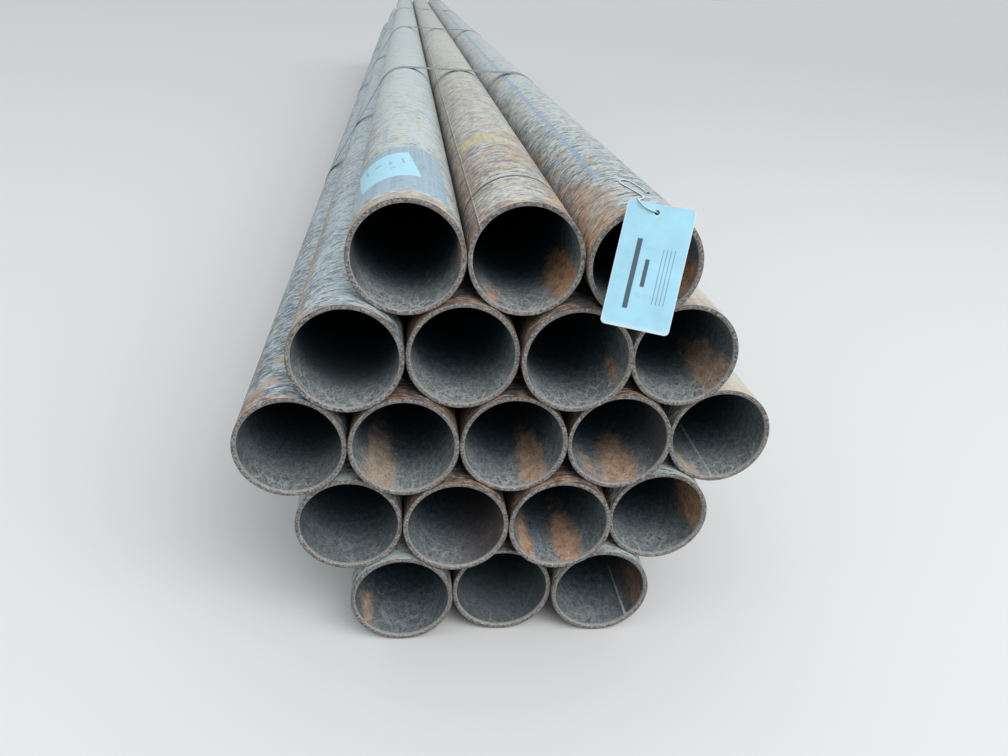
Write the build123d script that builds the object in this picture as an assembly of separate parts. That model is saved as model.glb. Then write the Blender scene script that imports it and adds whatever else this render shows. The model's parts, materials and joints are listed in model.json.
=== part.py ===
from build123d import *
import os
from math import radians, sin, sqrt, tan

# A strapped bundle of nineteen welded steel pipes, stacked as a hexagon of rows of 3, 4, 5, 4 and 3.
# Four flat steel bands hold it. Each band's two ends lap under a notched seal on the lower right.
# A paper label is stuck on the top left pipe. A plastic tag hangs on a tie at the top right one.
#
# Frame: millimetres, +Z up, pipes along Y. The seen ends face -Y, and X runs to the right.
# The origin is midway along the bundle, on its centre line, at the underside of the bands.

# Pipe stock
PIPE_OD = 114.3
PIPE_WALL = 4.8
PIPE_LENGTH = 6400.0

# The pile: pipes in each row from the top, and how far apart neighbours lie
PIPES_IN_ROW = [3, 4, 5, 4, 3]
PILE_GAP = 0.7

# How far each pipe is pushed in from the bundle's seen end, row by row from the top
END_SHIFTS = [
    [3.0, 7.0, -1.0],
    [-10.0, 1.0, -6.0, 9.0],
    [-8.0, -8.0, -2.0, 4.0, 17.0],
    [-2.0, -8.0, -7.0, 9.0],
    [-6.0, 7.0, 1.0],
]

# An old saw cut runs round the middle pipe of the top row
SAW_CUT_PIPE = (0, 1)
SAW_CUT_FROM_END = 108.0
SAW_CUT_WIDTH = 3.2
SAW_CUT_DEPTH = 0.9

# Steel bands
BAND_WIDTH = 31.75
BAND_THICKNESS = 0.8
BAND_SEAT_GAP = 0.3
BAND_STATIONS = [1124.0, 2500.0, 4109.0, 5669.0]

# The outer end of each band laps over its inner end, held by a seal
LAP_LENGTH = 118.0
SEAL_LENGTH = 51.0
SEAL_SHEET = 1.0
SEAL_FIT_GAP = 0.1
SEAL_FLANGE_GAP = 6.0
NOTCH_MOUTH = 6.6
NOTCH_ROOT = 3.0
NOTCH_BITE = 1.9
NOTCH_SPACING = 22.0

# The label, stuck round the top left pipe
LABEL_PIPE = (0, 0)
LABEL_WIDTH = 66.0
LABEL_LENGTH = 116.0
LABEL_THICKNESS = 0.2
LABEL_GLUE = 0.1
LABEL_FROM_END = 147.0
LABEL_ANGLE = 114.0
LABEL_SKEW = 6.5

# The tag, which leans out from the end of the top right pipe
TAG_PIPE = (0, 2)
TAG_WIDTH = 64.0
TAG_HEIGHT = 118.0
TAG_THICKNESS = 0.8
TAG_CORNER = 4.5
TAG_HOLE_RADIUS = 2.4
TAG_HOLE_FROM_LEFT = 28.6
TAG_HOLE_FROM_TOP = 8.1
TAG_HOLE_SIDE = -0.7
TAG_HOLE_OUT = 12.0
TAG_HOLE_BELOW_CREST = 1.7
TAG_TURN = -22.9
TAG_LEAN = -27.0
TAG_ROLL = 2.6

# The tag's tie, a limp cord with a knot at each end. Its section is a polygon, for few facets.
TIE_DIAMETER = 1.5
TIE_SIDES = 8
TIE_SEAT_GAP = 0.3
KNOT_RADIUS = 1.7
KNOT_LENGTH = 2.8
KNOT_TAPER = 26.0

# Its route on the pipe: sideways from the crest, in from the pipe's end, and lift off the pipe
TIE_ON_PIPE = [
    (7.6, 52.0, 1.0),
    (7.0, 72.0, 0.0),
    (4.8, 92.0, 0.0),
    (0.8, 106.5, 0.0),
    (-4.6, 111.5, 0.0),
    (-9.2, 107.5, 0.0),
    (-9.6, 96.0, 0.0),
    (-6.4, 76.0, 0.0),
    (-2.6, 55.0, 0.0),
    (-0.6, 40.0, 0.0),
    (-3.6, 28.5, 0.6),
    (-10.0, 19.0, 2.6),
]

# Its route at the tag: along the tag from its hole, behind its middle plane, and up from its hole
TIE_AT_TAG = [
    (-19.6, 8.0, 9.0),
    (-20.6, 1.8, 11.0),
    (-19.0, -2.4, 8.0),
    (-13.6, -2.2, 3.2),
    (-6.6, -2.0, 0.8),
    (-2.0, -1.8, 0.0),
    (0.0, 0.0, 0.0),
    (0.6, 3.2, -0.4),
]

# Derived from the sizes above
PIPE_RADIUS = PIPE_OD / 2
BORE_RADIUS = PIPE_RADIUS - PIPE_WALL
PITCH = PIPE_OD + PILE_GAP
ROW_RISE = PITCH * sqrt(3) / 2
LOWEST_AXIS = BAND_THICKNESS + BAND_SEAT_GAP + PIPE_RADIUS
ALL_SHIFTS = [shift for row in END_SHIFTS for shift in row]
MIDDLE_SHIFT = (min(ALL_SHIFTS) + max(ALL_SHIFTS)) / 2
SEEN_FACE = -PIPE_LENGTH / 2 - MIDDLE_SHIFT
TIE_RADIUS = TIE_DIAMETER / 2


def pipe_axis(row, place):
    """x and z of a pipe's axis, with rows from the top and places from the left."""
    x = (place - (PIPES_IN_ROW[row] - 1) / 2) * PITCH
    z = LOWEST_AXIS + (len(PIPES_IN_ROW) - 1 - row) * ROW_RISE
    return x, z


def pipe_end(row, place):
    """y of a pipe's seen end."""
    return SEEN_FACE + END_SHIFTS[row][place]


def make_pipe(row, place):
    """A length of pipe, sawn square at both ends: its wall's section turned about its axis."""
    x, z = pipe_axis(row, place)
    outer_side = [(PIPE_RADIUS, 0)]
    if (row, place) == SAW_CUT_PIPE:
        near = SAW_CUT_FROM_END - SAW_CUT_WIDTH / 2
        far = SAW_CUT_FROM_END + SAW_CUT_WIDTH / 2
        floor = PIPE_RADIUS - SAW_CUT_DEPTH
        outer_side += [(PIPE_RADIUS, near), (floor, near), (floor, far), (PIPE_RADIUS, far)]
    outer_side.append((PIPE_RADIUS, PIPE_LENGTH))
    section = [(BORE_RADIUS, 0), *outer_side, (BORE_RADIUS, PIPE_LENGTH)]
    start = (x, pipe_end(row, place), z)
    wall = Plane(start, x_dir=(1, 0, 0), z_dir=(0, 0, 1)) * make_face(Polyline(*section, close=True))
    return revolve(wall, Axis(start, (0, 1, 0)))


def corner_axes():
    """Axes of the six corner pipes, in order round the hexagon."""
    rows = len(PIPES_IN_ROW)
    widest = PIPES_IN_ROW.index(max(PIPES_IN_ROW))
    right = [(row, PIPES_IN_ROW[row] - 1) for row in (0, widest, rows - 1)]
    left = [(row, 0) for row in (rows - 1, widest, 0)]
    return [pipe_axis(*pipe) for pipe in right + left]


def lap_plane(station):
    """Where a band's ends lap: midway between two crests of the lower right side.

    x runs along the band, y along the pipes and z outwards, from the band's inner face.
    """
    upper = Vector(*pipe_axis(3, PIPES_IN_ROW[3] - 1))
    lower = Vector(*pipe_axis(4, PIPES_IN_ROW[4] - 1))
    along = (lower - upper).normalized()
    outward = Vector(-along.Y, along.X)
    middle = (upper + lower) / 2 + outward * (PIPE_RADIUS + BAND_SEAT_GAP)
    origin = (middle.X, SEEN_FACE + station, middle.Y)
    return Plane(origin, x_dir=(along.X, 0, along.Y), z_dir=(outward.X, 0, outward.Y))


def band_notches():
    """The tapered bites that the sealing tool takes out of both edges, in the lap's own frame."""
    height = 4 * (BAND_THICKNESS + SEAL_SHEET)
    root = BAND_WIDTH / 2 - NOTCH_BITE
    edge = BAND_WIDTH / 2 + SEAL_FIT_GAP + SEAL_SHEET
    right_half = [(0, root), (NOTCH_ROOT / 2, root), (NOTCH_MOUTH / 2, edge), (0, edge)]
    half_shape = make_face(Polyline(*right_half, close=True))
    half_bite = Pos(0, 0, BAND_THICKNESS) * extrude(half_shape, height / 2, both=True)
    bite = half_bite + mirror(half_bite, Plane.YZ)
    pair = [Pos(side * NOTCH_SPACING / 2, 0, 0) * bite for side in (-1, 1)]
    return pair + [mirror(notch, Plane.XZ) for notch in pair]


def make_band(station):
    """A flat band pulled tight round the pile, with its outer end lapped over its inner end."""
    hexagon = make_face(Polyline(*corner_axes(), close=True))
    inside = offset(hexagon, PIPE_RADIUS + BAND_SEAT_GAP, kind=Kind.ARC)
    outside = offset(hexagon, PIPE_RADIUS + BAND_SEAT_GAP + BAND_THICKNESS, kind=Kind.ARC)
    across = Plane((0, SEEN_FACE + station, 0), x_dir=(1, 0, 0), z_dir=(0, -1, 0))
    ring = extrude(across * (outside - inside), BAND_WIDTH / 2, both=True)
    lap = Pos(0, 0, 1.5 * BAND_THICKNESS) * Box(LAP_LENGTH, BAND_WIDTH, BAND_THICKNESS)
    plane = lap_plane(station)
    return ring + plane * lap - [plane * notch for notch in band_notches()]


def make_seal(station):
    """The seal: a sheet sleeve folded round both layers of the band, open along its inner face."""
    inner_width = BAND_WIDTH + 2 * SEAL_FIT_GAP
    inner_height = 2 * BAND_THICKNESS + 2 * SEAL_FIT_GAP
    outer_width = inner_width + 2 * SEAL_SHEET
    outer_height = inner_height + 2 * SEAL_SHEET
    sleeve = Box(SEAL_LENGTH, outer_width, outer_height)
    sleeve -= Box(2 * SEAL_LENGTH, inner_width, inner_height)
    sleeve -= Pos(0, 0, -outer_height / 2) * Box(2 * SEAL_LENGTH, SEAL_FLANGE_GAP, inner_height)
    sleeve = Pos(0, 0, BAND_THICKNESS) * sleeve
    plane = lap_plane(station)
    return plane * sleeve - [plane * notch for notch in band_notches()]


def make_label():
    """A thin sheet wrapped on its pipe: a shell of the pipe's surface cut by a skewed block."""
    x, z = pipe_axis(*LABEL_PIPE)
    inner = PIPE_RADIUS + LABEL_GLUE
    outer = inner + LABEL_THICKNESS
    half_turn = LABEL_WIDTH / 2 / inner
    chord = 2 * inner * sin(half_turn)
    centre = Pos(x, pipe_end(*LABEL_PIPE) + LABEL_FROM_END, z)
    shell = Rot(90, 0, 0) * (Cylinder(outer, 2 * LABEL_LENGTH) - Cylinder(inner, 2 * LABEL_LENGTH))
    turned = Rot(0, 90 - LABEL_ANGLE, 0) * Rot(0, 0, LABEL_SKEW)
    block = turned * Pos(0, 0, outer) * Box(chord, LABEL_LENGTH, outer)
    return centre * (shell & block)


def tag_location():
    """Where the tag's hole is, and how the tag is turned, leant and rolled."""
    x, z = pipe_axis(*TAG_PIPE)
    crest = z + PIPE_RADIUS
    hole = Pos(x + TAG_HOLE_SIDE, pipe_end(*TAG_PIPE) - TAG_HOLE_OUT, crest - TAG_HOLE_BELOW_CREST)
    return hole * Rot(0, 0, TAG_TURN) * Rot(TAG_LEAN, 0, 0) * Rot(0, TAG_ROLL, 0)


def make_tag():
    """A card with round corners and one hole, drawn upright about its hole and then leant."""
    card = Pos(TAG_WIDTH / 2 - TAG_HOLE_FROM_LEFT, TAG_HOLE_FROM_TOP - TAG_HEIGHT / 2)
    card = card * RectangleRounded(TAG_WIDTH, TAG_HEIGHT, TAG_CORNER) - Circle(TAG_HOLE_RADIUS)
    return tag_location() * extrude(Plane.XZ * card, TAG_THICKNESS / 2, both=True)


def tie_points():
    """The tie's route: over the pipe's crest, over the tag's top edge and through its hole."""
    x, z = pipe_axis(*TAG_PIPE)
    end = pipe_end(*TAG_PIPE)
    centre_height = PIPE_RADIUS + TIE_SEAT_GAP + TIE_RADIUS
    on_pipe = [
        Vector(x + side, end + inward, z + sqrt(centre_height**2 - side**2) + lift)
        for side, inward, lift in TIE_ON_PIPE
    ]
    at_tag = [(tag_location() * Pos(*point)).position for point in TIE_AT_TAG]
    return on_pipe + at_tag


def tie_radii(points):
    """The largest arc that each corner's two runs allow, from 0.45 of the shorter run."""
    radii = []
    for before, corner, after in zip(points, points[1:], points[2:]):
        turn = radians((corner - before).get_angle(after - corner))
        shorter = min((corner - before).length, (after - corner).length)
        radii.append(0.45 * shorter / tan(turn / 2))
    return radii


def make_tie():
    """The cord as a tube along straight runs and tangent arcs, with a barrel for each end's knot."""
    points = tie_points()
    radii = tie_radii(points)
    path = FilletPolyline(*points, radius=radii)
    ends = [Plane(path @ end, z_dir=path % end) for end in (0, 1)]
    section = RegularPolygon(TIE_RADIUS, TIE_SIDES)
    tube = sweep(ends[0] * section, path)
    print("tie length", round(path.length, 1), "arc radii", [round(radius, 1) for radius in radii])
    print("tie volume over section times length", tube.volume / (section.area * path.length))
    knot = extrude(RegularPolygon(KNOT_RADIUS, TIE_SIDES), KNOT_LENGTH / 2, both=True, taper=KNOT_TAPER)
    return tube + [end * knot for end in ends]


def write(name, shape):
    """Writes one named piece to its own file."""
    export_step(shape, f"parts/{name}.step")


os.makedirs("parts", exist_ok=True)

for row, count in enumerate(PIPES_IN_ROW):
    for place in range(count):
        write(f"pipe_{row + 1}_{place + 1}", make_pipe(row, place))

for number, station in enumerate(BAND_STATIONS, start=1):
    write(f"band_{number}", make_band(station))
    write(f"band_seal_{number}", make_seal(station))

write("label", make_label())
write("tag", make_tag())
write("tag_tie", make_tie())
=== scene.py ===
# %% [markdown]
# # A strapped bundle of steel pipes
#
# Nineteen welded steel pipes lie in a hexagon, held by four flat steel bands. They have been outdoors for a
# while: the mill's blue-grey scale has weathered to pale, wavy streaks, with rust near the ends and in the
# valleys. A blank label is stuck on one pipe and a blank plastic tag hangs from another on a short tie.
#
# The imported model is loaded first. It gives every size and place, in metres, with Z up and the pipes along Y.

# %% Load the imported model
import json
from math import cos, pi, radians, sin, sqrt

import bpy
import numpy as np
from mathutils import Matrix, Vector


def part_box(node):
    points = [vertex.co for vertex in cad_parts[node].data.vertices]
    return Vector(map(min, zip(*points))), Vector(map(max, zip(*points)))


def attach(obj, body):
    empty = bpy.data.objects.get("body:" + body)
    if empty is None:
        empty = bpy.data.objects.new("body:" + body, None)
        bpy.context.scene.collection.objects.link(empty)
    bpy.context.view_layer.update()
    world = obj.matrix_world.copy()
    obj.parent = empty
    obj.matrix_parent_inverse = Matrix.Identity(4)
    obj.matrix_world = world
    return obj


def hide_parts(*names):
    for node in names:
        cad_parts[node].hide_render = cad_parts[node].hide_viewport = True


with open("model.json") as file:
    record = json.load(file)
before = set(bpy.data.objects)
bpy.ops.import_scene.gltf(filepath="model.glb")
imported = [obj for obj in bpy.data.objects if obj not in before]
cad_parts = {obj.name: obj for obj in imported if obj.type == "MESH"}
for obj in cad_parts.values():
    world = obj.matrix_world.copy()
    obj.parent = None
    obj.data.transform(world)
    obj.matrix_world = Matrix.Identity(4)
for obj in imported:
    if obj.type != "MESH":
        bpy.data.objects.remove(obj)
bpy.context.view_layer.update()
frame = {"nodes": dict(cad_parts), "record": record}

scene = bpy.context.scene

# %% [markdown]
# ## Camera
#
# A camera can be placed by eye, or solved from things of known shape. The nineteen pipe ends are equal circles
# in one plane, so their ellipses in the picture give the place, the three turns and the focal length. The
# numbers below are that solution: turned a little to the right, looking down, and leaning slightly.

# %% Camera
IMAGE_WIDTH = 1008
FOCAL_PIXELS = 838
EYE = Vector((-0.1188, -3.9583, 0.7))
YAW, PITCH, ROLL = radians(7.79), radians(25.6), radians(3.96)

ahead = Vector((sin(YAW) * cos(PITCH), cos(YAW) * cos(PITCH), -sin(PITCH)))
level = Vector((cos(YAW), -sin(YAW), 0))
upright = level.cross(ahead)
right = cos(ROLL) * level + sin(ROLL) * upright
up = cos(ROLL) * upright - sin(ROLL) * level

camera = bpy.data.objects.new("camera", bpy.data.cameras.new("camera"))
scene.collection.objects.link(camera)
camera.data.sensor_width = 36
camera.data.lens = 36 * FOCAL_PIXELS / IMAGE_WIDTH
camera.data.clip_start, camera.data.clip_end = 0.01, 200
camera.matrix_world = Matrix.Translation(EYE) @ Matrix((right, up, -ahead)).transposed().to_4x4()
scene.camera = camera
print("lens in mm:", round(camera.data.lens, 2))

# %% [markdown]
# ## Where the pipes are
#
# Each pipe's box gives its axis, its radius and its two ends. The bore's radius comes from the record, where
# the open ends are listed as bores. Reading sizes from the model, and not typing them again, keeps the dressed
# pipes on their solids when a size changes.

# %% Measure the pipes
MM = 0.001


def pipe_place(node):
    """The axis (x, z), the radius and the two ends (y) of a pipe, from its box."""
    low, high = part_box(node)
    return (low.x + high.x) / 2, (low.z + high.z) / 2, (high.x - low.x) / 2, low.y, high.y


pipe_nodes = sorted(node for node in frame["nodes"] if node.startswith("pipe_"))
bores = [mount for mount in frame["record"]["mounts"] if mount["kind"] == "bore"]
BORE_RADIUS = bores[0]["dims"]["r_mm"] * MM
PIPE_RADIUS = pipe_place(pipe_nodes[0])[2]
print(len(pipe_nodes), "pipes, outside radius", round(PIPE_RADIUS, 5), "bore radius", BORE_RADIUS)

# %% [markdown]
# ## The tag's tie
#
# The tie is a thin, limp, two-ply cord. It lies in a long loop on the pipe's crest, passes over the tag's top
# edge, comes forward to the hole and goes through it, with a small knot at each end.
#
# Its route is a handful of points: some measured sideways and inwards on the pipe, the rest in the tag's own
# tilted frame. A polyline through them would look like bent wire, so they become the control points of one
# smooth NURBS curve. Order 3 keeps the curve close to them.

# %% Route of the tie
TIE_DIAMETER = 1.5 * MM
TIE_SEAT_GAP = 0.3 * MM
TAG_HOLE = (-0.7, -12, -1.7)
TAG_TURNS = (-22.9, -27, 2.6)
TIE_ON_PIPE = [
    (7.6, 52, 1), (7, 72, 0), (4.8, 92, 0), (0.8, 106.5, 0), (-4.6, 111.5, 0), (-9.2, 107.5, 0),
    (-9.6, 96, 0), (-6.4, 76, 0), (-2.6, 55, 0), (-0.6, 40, 0), (-3.6, 28.5, 0.6), (-10, 19, 2.6),
]
TIE_AT_TAG = [
    (-19.6, 8, 9), (-20.6, 1.8, 11), (-19, -2.4, 8), (-13.6, -2.2, 3.2), (-6.6, -2, 0.8),
    (-2, -1.8, 0), (0, 0, 0), (0.6, 3.2, -0.4),
]

tag_x, tag_z, _, tag_end, _ = pipe_place("pipe_1_3")
crest = Vector((tag_x, tag_end, tag_z + PIPE_RADIUS))
turn, lean, roll = (radians(angle) for angle in TAG_TURNS)
tag_frame = (
    Matrix.Translation(crest + Vector(TAG_HOLE) * MM)
    @ Matrix.Rotation(turn, 4, "Z") @ Matrix.Rotation(lean, 4, "X") @ Matrix.Rotation(roll, 4, "Y")
)

centre_height = PIPE_RADIUS + TIE_SEAT_GAP + TIE_DIAMETER / 2
route = [
    (tag_x + side * MM, tag_end + inward * MM, tag_z + sqrt(centre_height**2 - (side * MM)**2) + lift * MM)
    for side, inward, lift in TIE_ON_PIPE
]
route += [tuple(tag_frame @ (Vector(point) * MM)) for point in TIE_AT_TAG]


def smooth_line(name, points, per_span=12):
    """Points read along one NURBS curve of order 3 whose control points are the given ones."""
    curve = bpy.data.curves.new(name, "CURVE")
    curve.dimensions = "3D"
    spline = curve.splines.new("NURBS")
    spline.points.add(len(points) - 1)
    for control, place in zip(spline.points, points):
        control.co = (*place, 1)
    spline.order_u = 3
    spline.use_endpoint_u = True
    spline.resolution_u = per_span
    holder = bpy.data.objects.new(name, curve)
    line = bpy.data.meshes.new_from_object(holder)
    line_points = np.array([vertex.co[:] for vertex in line.vertices])
    bpy.data.objects.remove(holder)
    return line_points


tie_line = smooth_line("tie_route", route)

# %% [markdown]
# ## Making a surface from a grid
#
# Every new piece here is a grid of points: rows by columns, worked out by a formula as one array. One function
# turns any such grid into a mesh. Where the grid closes on itself, the last row or column is joined to the
# first, so a tube needs no seam and a ring no cap.

# %% Grid helpers
def points_of(x, y, z):
    """Coordinates, each a number or an array that can be stretched to the others' shape, as one array of points."""
    return np.stack(np.broadcast_arrays(x, y, z), axis=-1)


def circle(angles):
    """Cosine and sine of each angle."""
    return np.stack([np.cos(angles), np.sin(angles)], axis=-1)


def unit(vectors):
    """Each vector over its own length."""
    return vectors / np.linalg.norm(vectors, axis=-1, keepdims=True)


def distances_along(line):
    """How far each point of a line is from its start."""
    return np.concatenate([[0], np.cumsum(np.linalg.norm(np.diff(line, axis=0), axis=1))])


def read_along(line, places):
    """The line's points at given distances from its start."""
    run = distances_along(line)
    return np.stack([np.interp(places, run, part) for part in line.T], axis=1)


def grid_faces(rows, columns, close_rows=False, close_columns=False):
    """Four-sided faces between neighbouring rows and columns, in the order that faces them along rows x columns."""
    row = np.arange(rows if close_rows else rows - 1)[:, None]
    column = np.arange(columns if close_columns else columns - 1)[None, :]
    next_row, next_column = (row + 1) % rows, (column + 1) % columns
    corners = [
        row * columns + column, next_row * columns + column,
        next_row * columns + next_column, row * columns + next_column,
    ]
    return np.stack(np.broadcast_arrays(*corners), axis=-1).reshape(-1, 4)


def thin_sheet(front, back):
    """A closed shell from two grids that share their outline: the front, and the back in reverse with a rim between."""
    rows, columns = front.shape[:2]
    faces = grid_faces(rows, columns)
    count = rows * columns
    edge = np.concatenate([
        np.arange(columns), np.arange(2 * columns - 1, count, columns),
        np.arange(count - 2, count - columns - 1, -1), np.arange(count - 2 * columns, 0, -columns),
    ])
    following = np.roll(edge, -1)
    rim = np.stack([edge, following, following + count, edge + count], axis=1)
    return np.concatenate([front, back]), np.concatenate([faces, faces[:, ::-1] + count, rim])


def make_piece(name, points, slot, *materials, faces=None, face_material=None, sharp_angle=40):
    """A mesh object from points and four-cornered faces. Without faces, the points are a grid closed both ways."""
    if faces is None:
        faces = grid_faces(*points.shape[:2], close_rows=True, close_columns=True)
    points = points.reshape(-1, 3)
    mesh = bpy.data.meshes.new(name)
    mesh.vertices.add(len(points))
    mesh.vertices.foreach_set("co", np.asarray(points, np.float32).ravel())
    mesh.loops.add(faces.size)
    mesh.loops.foreach_set("vertex_index", faces.astype(np.int32).ravel())
    mesh.polygons.add(len(faces))
    mesh.polygons.foreach_set("loop_start", np.arange(0, faces.size, 4, dtype=np.int32))
    mesh.polygons.foreach_set("use_smooth", np.ones(len(faces), bool))
    for material in materials:
        mesh.materials.append(material)
    if face_material is not None:
        mesh.polygons.foreach_set("material_index", np.asarray(face_material, np.int32))
    mesh.update(calc_edges=True)
    mesh.validate()
    mesh.set_sharp_from_angle(angle=radians(sharp_angle))
    piece = bpy.data.objects.new(name, mesh)
    scene.collection.objects.link(piece)
    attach(piece, "root")
    return piece


def add_numbers(piece, shape, **numbers):
    """Stores numbers by name, one for each point of the mesh's grid, for its material to read."""
    for name, values in numbers.items():
        layer = piece.data.attributes.new(name, "FLOAT", "POINT")
        layer.data.foreach_set("value", np.broadcast_to(values, shape).astype(np.float32).ravel())


def add_colours(piece, name, colours):
    """Stores one colour with its cover for each point of the mesh, for its material to read."""
    layer = piece.data.attributes.new(name, "FLOAT_COLOR", "POINT")
    layer.data.foreach_set("color", np.asarray(colours, np.float32).ravel())


# %% [markdown]
# ## Materials: the tools
#
# A weathered surface is layers: scale, streaks, rust, dust. Each is a noise or a stored number, shaped by a ramp
# and mixed over the one below. These helpers keep each material to a few readable lines. Noise reads Object
# coordinates, so a pattern stays on the steel and runs on across seams, and each pipe has its own.

# %% Material helpers
def math_step(operation, turned=False):
    """A method for signals that adds a math node, with the other number first if it is turned."""
    def step(self, other=0.0):
        inputs = {0: other, 1: self} if turned else {0: self, 1: other}
        return signal(self.tree, "Math", 0, inputs, operation=operation)
    return step


class Signal:
    """A number or colour that runs through a material. Sums and products are written out and become nodes."""

    def __init__(self, socket):
        self.socket, self.tree = socket, socket.id_data

    __add__ = __radd__ = math_step("ADD")
    __mul__ = __rmul__ = math_step("MULTIPLY")
    __sub__, __rsub__, __abs__ = math_step("SUBTRACT"), math_step("SUBTRACT", turned=True), math_step("ABSOLUTE")
    at_least, at_most = math_step("MAXIMUM"), math_step("MINIMUM")


def new_material(name):
    """A material with only its shader and output, and the tree to add nodes to."""
    material = bpy.data.materials.new(name)
    material.use_nodes = True
    return material, material.node_tree, material.node_tree.nodes["Principled BSDF"]


def fill(target, inputs):
    """Sets a node's inputs, by name or by number, to signals or plain values."""
    for key, value in dict(inputs).items():
        socket = target.inputs[key]
        if isinstance(value, Signal):
            target.id_data.links.new(value.socket, socket)
        else:
            socket.default_value = (*value, 1) if socket.type == "RGBA" else value


def node(tree, kind, inputs=(), **settings):
    """Adds a shader node of a kind, such as Math or Mix."""
    made = tree.nodes.new(f"ShaderNode{kind}")
    for key, value in settings.items():
        setattr(made, key, value)
    fill(made, inputs)
    return made


def signal(tree, kind, output, inputs=(), **settings):
    """Adds a node for the sake of one of its outputs."""
    return Signal(node(tree, kind, inputs, **settings).outputs[output])


def place_of(tree, scale):
    """Object coordinates in metres, stretched by a scale for each axis."""
    coordinates = signal(tree, "TexCoord", "Object")
    return signal(tree, "Mapping", "Vector", {"Vector": coordinates, "Scale": scale})


def noise(tree, across, along=None, upward=None, detail=4.0, roughness=0.6, distortion=0.0):
    """Fractal noise from 0 to 1, in waves a metre along each axis: as many as across where nothing else is given."""
    return signal(tree, "TexNoise", "Fac", {
        "Vector": place_of(tree, (across, along or across, upward or across)), "Scale": 1.0,
        "Detail": detail, "Roughness": roughness, "Distortion": distortion,
    })


def stored(tree, name, output="Fac"):
    """A number or colour that is stored on the mesh."""
    return signal(tree, "Attribute", output, attribute_name=name)


def fade(value, start, end):
    """0 at start and 1 at end, smooth between them. The start may be the greater of the two."""
    inputs = {"Value": value, "From Min": start, "From Max": end}
    return signal(value.tree, "MapRange", "Result", inputs, interpolation_type="SMOOTHSTEP")


def ramp(value, stops):
    """A colour for each value, from (place, colour) stops."""
    made = node(value.tree, "ValToRGB", {"Fac": value})
    elements = made.color_ramp.elements
    while len(elements) < len(stops):
        elements.new(0.5)
    for element, (place, colour) in zip(elements, stops):
        element.position = place
        element.color = (*colour, 1)
    return Signal(made.outputs["Color"])


def mix(cover, under, over):
    """The upper colour laid over the lower one, as far as its cover says."""
    return signal(cover.tree, "Mix", 2, {"Factor": cover, 6: under, 7: over}, data_type="RGBA")


def bump(height, distance, strength=1.0, below=None):
    """A bump of the given height in metres, on top of another if there is one."""
    inputs = {"Height": height, "Distance": distance, "Strength": strength}
    return signal(height.tree, "Bump", "Normal", inputs | ({"Normal": below} if below else {}))


# %% [markdown]
# ## Pipe outside: weathered mill scale
#
# Rolled pipe leaves the mill with a dark blue-grey scale. Rust creeps in between, and rain and handling leave
# pale scuffs that lie across the pipe: a few millimetres thick, a few centimetres long and wavy. A wave texture
# would be far too regular, so the scuffs are noise that changes three times as fast along Y as around. They lie
# over the rust, as they do on the real pipe, and softer noises make some stretches bluer, browner or paler.

# %% Outside material
BLUE_SCALE = (0.11, 0.145, 0.18)
BROWN_SCALE = (0.21, 0.165, 0.14)
DARK_SCALE = (0.035, 0.04, 0.048)
PALE_SCUFF = (0.575, 0.67, 0.665)
CREAM_SCUFF = (0.66, 0.635, 0.56)
BLUE_SCUFF = (0.565, 0.68, 0.73)
BRIGHT_FLECK = (0.82, 0.86, 0.82)
WIPING_LINE = (0.16, 0.25, 0.33)
RUST_DARK = (0.195, 0.105, 0.066)
RUST_LIGHT = (0.64, 0.385, 0.215)

outside_steel, tree, shader = new_material("outside_steel")

tint_noise = noise(tree, 45, 30, roughness=0.65)
brown_share = stored(tree, "brown")
brown = brown_share + 2.2 * (tint_noise - 0.5)
scale_colour = mix(fade(brown, 0.2, 0.9), BLUE_SCALE, BROWN_SCALE)

scuffs = noise(tree, 70, 230, detail=6, roughness=0.68, distortion=1.0)
fine_scuffs = noise(tree, 130, 560, detail=3, roughness=0.62, distortion=0.9)
long_scuffs = noise(tree, 52, 115, distortion=0.9)
patches = noise(tree, 11, 6)
grain = noise(tree, 420, 620, detail=3, roughness=0.7)
rust_noise = noise(tree, 38, 75, detail=6, roughness=0.68, distortion=0.5)

rust_level = stored(tree, "rust") + (2.0 * rust_noise + 1.3 * fine_scuffs - 1.65)
rust_cover = 0.88 * fade(rust_level, 0.32, 0.78)
rust_colour = ramp(0.5 * tint_noise + 0.5 * grain, [(0.38, RUST_DARK), (0.62, RUST_LIGHT)])
colour = mix(rust_cover, scale_colour, rust_colour)

paleness = 0.34 * scuffs + 0.34 * fine_scuffs + 0.24 * long_scuffs + 0.08 * patches
paleness = paleness + 0.2 * (stored(tree, "weather") - 0.5)
pale_cover = fade(paleness, 0.475, 0.545)
cool_scuff = mix(fade(brown_share, 0.35, 0.05), PALE_SCUFF, BLUE_SCUFF)
creamy = tint_noise + 0.3 * (brown_share - 0.5)
scuff_colour = mix(fade(creamy, 0.42, 0.62), cool_scuff, CREAM_SCUFF)
colour = mix(pale_cover * (0.95 - 0.58 * rust_cover), colour, scuff_colour)
bright_flecks = fade(0.4 * scuffs + 0.6 * fine_scuffs, 0.53, 0.62)
colour = mix(bright_flecks * pale_cover * 0.6, colour, BRIGHT_FLECK)
colour = mix(0.75 * fade(paleness, 0.47, 0.4), colour, DARK_SCALE)

# Stored colours: marks, with painted shadow beside the seam and at the saw cut, worn through by the scuffs
paint_and_shade_cover = stored(tree, "paint_and_shade", "Alpha")
paint_and_shade_wear = paint_and_shade_cover + 1.6 * (scuffs - 0.5)
wiping_lines = fade(noise(tree, 330, 7, detail=3), 0.42, 0.6)
paint_and_shade = mix(0.36 * wiping_lines, stored(tree, "paint_and_shade", "Color"), WIPING_LINE)
colour = mix(paint_and_shade_cover * fade(paint_and_shade_wear, 0.2, 1.0), colour, paint_and_shade)

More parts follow.
